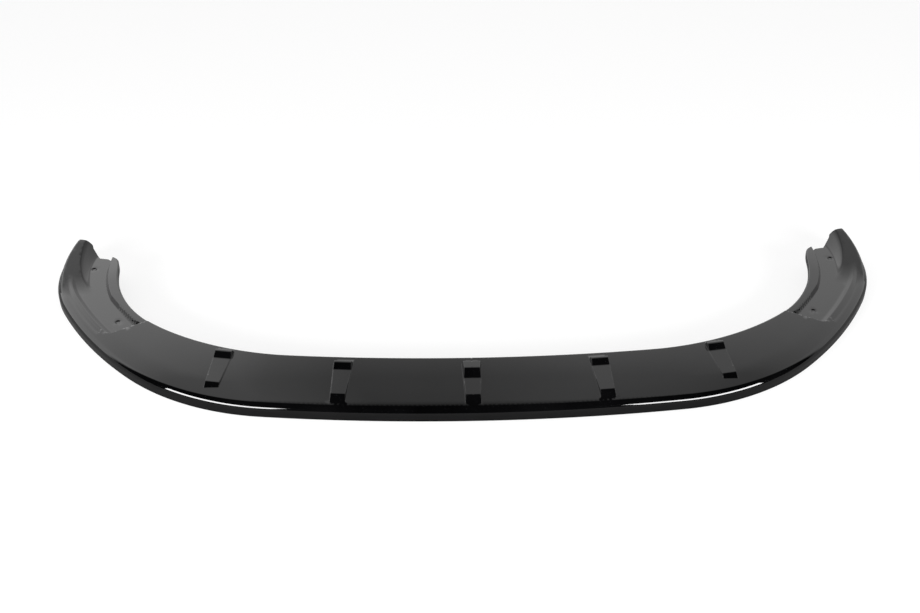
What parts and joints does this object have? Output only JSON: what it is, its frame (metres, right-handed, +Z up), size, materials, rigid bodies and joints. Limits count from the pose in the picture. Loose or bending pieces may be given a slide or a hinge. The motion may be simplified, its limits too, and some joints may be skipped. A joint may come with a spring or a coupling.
{
  "type": "front splitter lip",
  "caption": "Wide U-shaped moulded lip that fits under a car's front bumper, with a rounded leading edge, raised fins and stepped seats on upturned wings.",
  "frame": {"origin": "middle of the footprint, on the plane of the lower edge", "axes": "+X across the car, +Y rearward, away from the leading edge, +Z up"},
  "size_m": [1.8076, 0.5928, 0.062],
  "materials": {
    "gloss_black": "high gloss, near black"
  },
  "bodies": {
    "root": {"splitter_lip": "gloss_black"}
  },
  "joints": []
}
